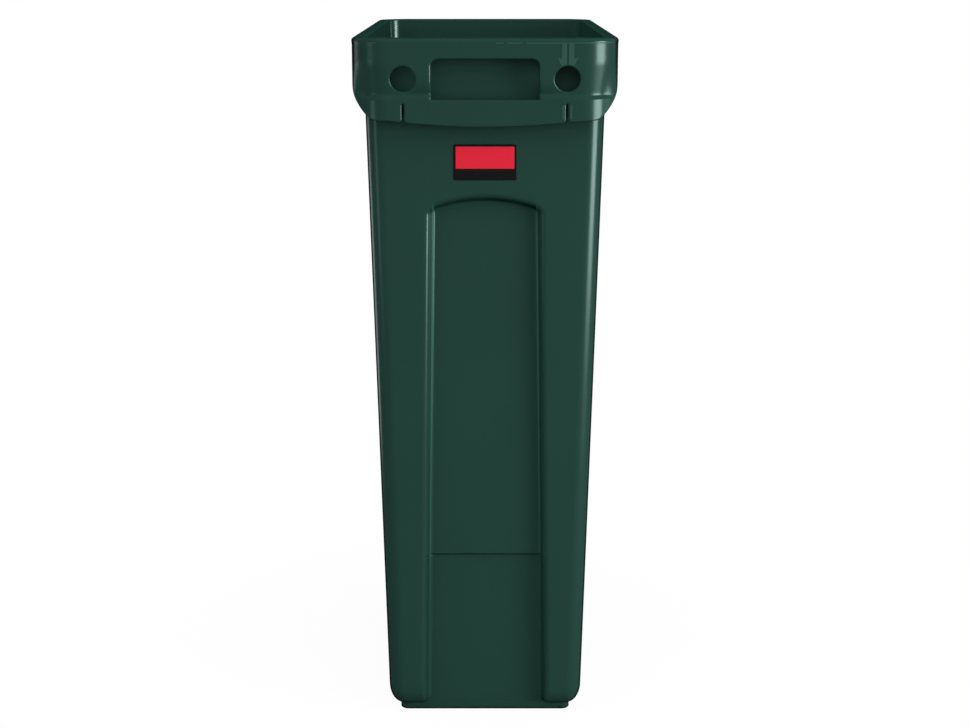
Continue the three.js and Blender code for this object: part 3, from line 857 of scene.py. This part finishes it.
def raisedPart(corners):
    # A flat shape, given as (run, depth) corners, that stands a little proud of the collar's face
    border = denseLoop(np.array(corners, float))
    low, high = border.min(axis=0), border.max(axis=0)
    xs, ys = [np.arange(a + 1.2, b, 2.4) for a, b in zip(low, high)]
    points, faces = regionFaces(border, [], np.stack(np.meshgrid(xs, ys), axis=-1).reshape(-1, 2), 0.8)
    loop = closedRow(border)
    heights = np.array([[-mark["proud"]], [mark["sunk"]]])
    wall = windowPoint(np.tile(loop[:, 0], (2, 1)), np.tile(loop[:, 1], (2, 1)), heights)
    return joined([(windowPoint(points[:, 0], points[:, 1], -mark["proud"]), faces),
                   (windowPoint(points[:, 0], points[:, 1], mark["sunk"]), faces), gridPart(wall)])


def rimLine(start, end):
    # A fine flat ridge along the rim, closed all round
    runs = np.linspace(start, end, 2 + int(abs(end - start) / 1.6))
    h, out = mark["lineHalf"], mark["lineProud"]
    section = [(-h, mark["sunk"]), (-h, 0), (-h * 0.7, -out), (h * 0.7, -out), (h, 0), (h, mark["sunk"]),
               (-h, mark["sunk"])]
    face = faceInset(mark["lineDepth"], runs)
    grid = np.array([collarPoint(runs, mark["lineDepth"] + d, face + i) for d, i in section])
    middle = grid[:-1].mean(axis=0)
    ends = [gridPart(np.array([grid[:, k], np.repeat(middle[[k]], len(grid), axis=0)])) for k in (0, -1)]
    return joined([gridPart(grid)] + ends)


def makeMarks():
    near = opening["holeRadius"] + opening["holeEdge"] + mark["holeGap"]
    across = np.linspace(mark["tipHalf"], mark["gap"], 6)
    foot = [(x, opening["holeDepth"] - math.sqrt(near ** 2 - x ** 2)) for x in across]
    down = [(mark["gap"], mark["top"]), (mark["stem"], mark["top"]), (mark["stem"], mark["neckDepth"]),
            (mark["barb"], mark["barbDepth"])] + foot
    inner, outer = mark["slotStem"]
    up = [(inner, mark["slotTip"]), (mark["slotBarb"], mark["slotBarbDepth"]), (outer, mark["slotBarbDepth"]),
          (outer, mark["slotFoot"]), (inner, mark["slotFoot"])]
    parts = [raisedPart([(opening["holeMiddle"] + side * x, d) for x, d in shape])
             for shape in (down, up) for side in (-1, 1)]
    return joined(parts + [rimLine(*line) for line in mark["lines"]])


marks = makeMarks()
addPiece("raised_marks_front", marks, raisedHighlightPlastic)
addPiece("raised_marks_rear", mirrored(mirrored(marks, 0), 1), raisedHighlightPlastic)


# Foot ring

plinth = {"halves": (96.6, 222.75, 9), "ring": 5, "height": 10.5, "edge": 1.8}


def roundedOutline(halfWidth, halfLength, radius, height):
    # A rounded rectangle seen from above
    a = arcSteps(10)
    x, y = halfWidth - radius + radius * np.sin(a), radius - halfLength - radius * np.cos(a)
    quarter = np.column_stack([x, y])
    right = np.vstack([quarter, quarter[::-1] * [1, -1]])
    flat = np.vstack([right, -right])
    return np.column_stack([flat, np.full(len(flat), height)])


def makePlinth():
    hw, hl, r = plinth["halves"]
    e, ring = plinth["edge"], plinth["ring"]
    b = arcSteps(3)
    section = [(0, plinth["height"])] + [(e * (1 - math.cos(c)), e * (1 - math.sin(c))) for c in b]
    section += [(ring - e * (1 - math.sin(c)), e * (1 - math.cos(c))) for c in b]
    section += [(ring, plinth["height"]), (0, plinth["height"])]
    loops = [roundedOutline(hw - i, hl - i, r - min(i, ring), z) for i, z in section]
    return gridPart(np.array([np.vstack([loop, loop[:1]]) for loop in loops]))


# The foot ring's lowest few millimetres get a painted contact shadow
footLook = dict(greenLook, contactShadeHeight=(1.8, 3.2), contactShadeShare=0.85, contactShadeColour=[0.002, 0.002, 0.002])
footPlastic = mouldedPlastic("green_foot_plastic", footLook)
addPiece("foot_ring", makePlinth(), footPlastic, ["base_plinth"])


# Venting channels

channel = {
    "middle": 136, "half": 30, "crestHalf": 22, "depth": 16, "wall": 2.5, "top": 743, "foot": 52.7,
    "gap": 0.3, "cap": 9, "round": 2.2,
}


def softMin(a, b, k):
    # The smaller of two values, with the corner between them rounded
    return 0.5 * (a + b - np.sqrt((a - b) ** 2 + k ** 2))


def makeChannel(side, end):
    # Depth from the wall as a rounded trapezium across, closed by a slope at the top; the inside is the same
    # form a wall's thickness smaller, and the foot is open
    flank = np.linspace(0.7, 1, 9)
    across = np.concatenate([-flank[::-1], np.linspace(-0.7, 0.7, 9)[1:-1], flank])
    capped = channel["cap"] * 1.4
    tops = np.concatenate([np.linspace(0, 1, 10) ** 1.2 * capped, np.linspace(0.03, 1, 12)
                           * (channel["top"] - channel["foot"] - capped) + capped])
    sheets = []
    for wall in (0, channel["wall"]):
        half, crest = channel["half"] - wall, channel["crestHalf"] - wall * 0.7
        y = across * half
        z = channel["top"] - wall - tops * (channel["top"] - wall - channel["foot"]) / tops[-1]
        depth = channel["depth"] - wall
        sideRise = depth * (half - np.abs(y)) / (half - crest)
        topRise = depth * (channel["top"] - wall - z) / channel["cap"]
        capRise = softMin(topRise[:, None], depth, channel["round"])
        rise = np.maximum(softMin(sideRise[None, :], capRise, channel["round"]), 0)
        yy, zz = np.meshgrid(y, z)
        x = tubHalves(zz)[0] - tub["wall"] - channel["gap"] - rise
        sheets.append(np.dstack([side * x, end * channel["middle"] + yy, zz]))
    outer, inner = sheets
    parts = [gridPart(outer), gridPart(inner)]
    for pick in (lambda s: s[0], lambda s: s[-1], lambda s: s[:, 0], lambda s: s[:, -1]):
        parts.append(gridPart(np.array([pick(outer), pick(inner)])))
    return joined(parts)


for sideName, side in (("left", -1), ("right", 1)):
    for endName, end in (("front", -1), ("rear", 1)):
        addPiece(f"channel_{sideName}_{endName}", makeChannel(side, end), greenPlastic,
                 [f"vent_channel_{sideName}_{endName}"])


# Label

label = {
    "width": 67, "height": 38.2, "corner": 2.5, "centre": 632.5, "proud": 0.4, "sunk": 0.5, "edge": 0.2,
    "faceWidth": 61.8, "faceHeight": 23.3, "faceCorner": 0.5, "faceCentre": 4.85, "faceProud": 0.55,
    "faceSunk": 0.1, "faceEdge": 0.1,
}


def ontoEnd(flat):
    # Points drawn as (across, up, out) on the sloping front end, measured from the label's centre
    slope = math.atan((tub["topHalves"][1] - tub["baseHalves"][1]) / tub["height"])
    y = -tubHalves(label["centre"])[1] - flat[..., 2] * math.cos(slope) - flat[..., 1] * math.sin(slope)
    z = label["centre"] + flat[..., 1] * math.cos(slope) - flat[..., 2] * math.sin(slope)
    return np.stack([flat[..., 0], y, z], axis=-1)


def platePart(width, height, corner, centre, back, front, edge):
    # A plate with a small rounded edge in front, closed by shrinking its outline to its middle
    section = [(width / 2, back), (0, back), (0, front - edge)]
    section += [(edge * (1 - math.cos(c)), front - edge * (1 - math.sin(c))) for c in arcSteps(3)]
    section.append((edge + 0.6, front))
    section.append((width / 2, front))
    loops = []
    for inset, out in section:
        if inset >= width / 2:
            loop = np.zeros((44, 3))
        else:
            loop = roundedOutline(width / 2 - inset, height / 2 - inset, max(corner - inset, 0.15), 0)
        loop[:, 2] = out
        loop[:, 1] += centre
        loops.append(np.vstack([loop, loop[:1]]))
    points, faces = gridPart(np.array(loops))
    return ontoEnd(points), faces


backing = platePart(label["width"], label["height"], label["corner"], 0, -label["sunk"], label["proud"],
                    label["edge"])
panel = platePart(label["faceWidth"], label["faceHeight"], label["faceCorner"], label["faceCentre"],
                  label["proud"] - label["faceSunk"], label["faceProud"], label["faceEdge"])
addPiece("label_backing", backing, labelBlack, ["label_plate"])
addPiece("label_panel", panel, labelRed, ["label_face"])


# Stage, light and camera

stage = {
    "floorHalf": 6,
    "shadowReach": (0.2, 0.6),
    "shadowShare": 0.05,
    "bounce": 0.06,
    "room": 0.85,
    "front": 0.8,
    "frontTilt": 35,
    "frontReach": (0.1, 1),
    "behind": 0.15,
    "behindReach": (0.1, 0.9),
    "paper": 0.9,
}


def nodeTree(owner):
    owner.use_nodes = True
    owner.node_tree.nodes.clear()
    return owner.node_tree.nodes, owner.node_tree.links.new


def makeWorld():
    # White for the camera, a pale backdrop behind the object for gloss, and a room that is brighter in front
    # and above for everything else
    world = bpy.data.worlds.new("studio")
    bpy.context.scene.world = world
    nodes, link = nodeTree(world)
    rays = nodes.new("ShaderNodeLightPath").outputs
    direction = nodes.new("ShaderNodeTexCoord").outputs["Generated"]
    backwards = splitNode(nodes, link, direction)["Y"]
    behind = rampNode(nodes, link, backwards, stage["behindReach"], (0, stage["behind"]))
    mirror = mathNode(nodes, link, "MAXIMUM", rays["Is Glossy Ray"], rays["Is Transmission Ray"])
    seen = mathNode(nodes, link, "MULTIPLY", mirror, behind)
    ahead = nodes.new("ShaderNodeVectorMath")
    ahead.operation = "DOT_PRODUCT"
    tilt = math.radians(stage["frontTilt"])
    ahead.inputs[1].default_value = (0, -math.cos(tilt), math.sin(tilt))
    link(direction, ahead.inputs[0])
    bright = (stage["room"], stage["room"] + stage["front"])
    dim = mathNode(nodes, link, "MULTIPLY", rays["Is Diffuse Ray"],
                   rampNode(nodes, link, ahead.outputs["Value"], stage["frontReach"], bright))
    total = mathNode(nodes, link, "ADD", rays["Is Camera Ray"], mathNode(nodes, link, "ADD", seen, dim))
    background = nodes.new("ShaderNodeBackground")
    background.inputs["Color"].default_value = (1, 1, 1, 1)
    link(total, background.inputs["Strength"])
    output = nodes.new("ShaderNodeOutputWorld")
    link(background.outputs[0], output.inputs["Surface"])


def makeFloor():
    # A white floor that only darkens near the object, where its shadow falls
    half = stage["floorHalf"] / mm
    points = np.array([[-half, -half, 0], [half, -half, 0], [half, half, 0], [-half, half, 0]], float)
    mesh = bpy.data.meshes.new("studio_floor")
    mesh.from_pydata((points * mm).tolist(), [], [(0, 1, 2, 3)])
    floor = bpy.data.objects.new("studio_floor", mesh)
    bpy.context.scene.collection.objects.link(floor)
    material = bpy.data.materials.new("studio_floor_white")
    mesh.materials.append(material)
    nodes, link = nodeTree(material)
    rays = nodes.new("ShaderNodeLightPath").outputs
    place = nodes.new("ShaderNodeTexCoord").outputs["Object"]
    away = nodes.new("ShaderNodeVectorMath")
    away.operation = "LENGTH"
    link(place, away.inputs[0])
    fade = rampNode(nodes, link, away.outputs["Value"], stage["shadowReach"], (stage["shadowShare"], 0))
    white = nodes.new("ShaderNodeEmission")
    white.inputs["Strength"].default_value = 1
    paper = nodes.new("ShaderNodeBsdfDiffuse")
    paper.inputs["Color"].default_value = (*[stage["paper"]] * 3, 1)
    near = shaderBlend(nodes, link, fade, white, paper)
    plain = nodes.new("ShaderNodeBsdfDiffuse")
    plain.inputs["Color"].default_value = (*[stage["bounce"]] * 3, 1)
    choose = shaderBlend(nodes, link, rays["Is Camera Ray"], plain, near)
    output = nodes.new("ShaderNodeOutputMaterial")
    link(choose.outputs[0], output.inputs["Surface"])


lamps = {
    "right_strip": {"place": (1.905, -1.18, 0.6), "aim": (0.125, -0.265, 0.6), "size": (1.02, 1.18),
                    "radiance": 9.4, "spread": 180, "lights": True},
    "left_card": {"place": (-0.973, 0.285, 0.28), "aim": (-0.125, -0.245, 0.28), "size": (0.35, 0.54),
                  "radiance": 1.8, "spread": 180, "lights": False},
    "left_top": {"place": (-0.973, 0.285, 0.68), "aim": (-0.125, -0.245, 0.68), "size": (0.35, 0.24),
                 "radiance": 0.6, "spread": 180, "lights": False},
    "left_glow": {"place": (-1.944, -1.315, 0.3), "aim": (-0.125, -0.265, 0.3), "size": (0.5, 0.7),
                  "radiance": 1.3, "spread": 180, "lights": False},
    "inner_glint": {"place": (0.1, 0.135, 0.742), "aim": (-0.115, 0.245, 0.745), "size": (0.07, 0.04),
                    "radiance": 3, "spread": 60, "lights": False},
}


def makeLamps():
    # Each lamp is a rectangle whose power follows from how bright it looks; some show in the gloss alone
    for name, lamp in lamps.items():
        data = bpy.data.lights.new(name, "AREA")
        data.shape = "RECTANGLE"
        data.size, data.size_y = lamp["size"]
        data.energy = lamp["radiance"] * math.pi * data.size * data.size_y
        data.spread = math.radians(lamp["spread"])
        item = bpy.data.objects.new(name, data)
        bpy.context.scene.collection.objects.link(item)
        item.location = lamp["place"]
        item.rotation_euler = (Vector(lamp["aim"]) - item.location).to_track_quat("-Z", "Y").to_euler()
        item.visible_camera = False
        item.visible_diffuse = lamp["lights"]


shot = {"lens": 66.07, "place": (0, -2.1285, 0.8477), "tilt": 13.0135}


def makeCamera():
    data = bpy.data.cameras.new("camera")
    data.sensor_width = 36
    data.lens = shot["lens"]
    data.clip_end = 50
    camera = bpy.data.objects.new("camera", data)
    bpy.context.scene.collection.objects.link(camera)
    camera.location = shot["place"]
    camera.rotation_euler = (math.radians(90 - shot["tilt"]), 0, 0)
    bpy.context.scene.camera = camera


makeWorld()
makeFloor()
makeLamps()
makeCamera()
bpy.context.scene.view_settings.view_transform = "Standard"
print("stage, lamps and camera placed")
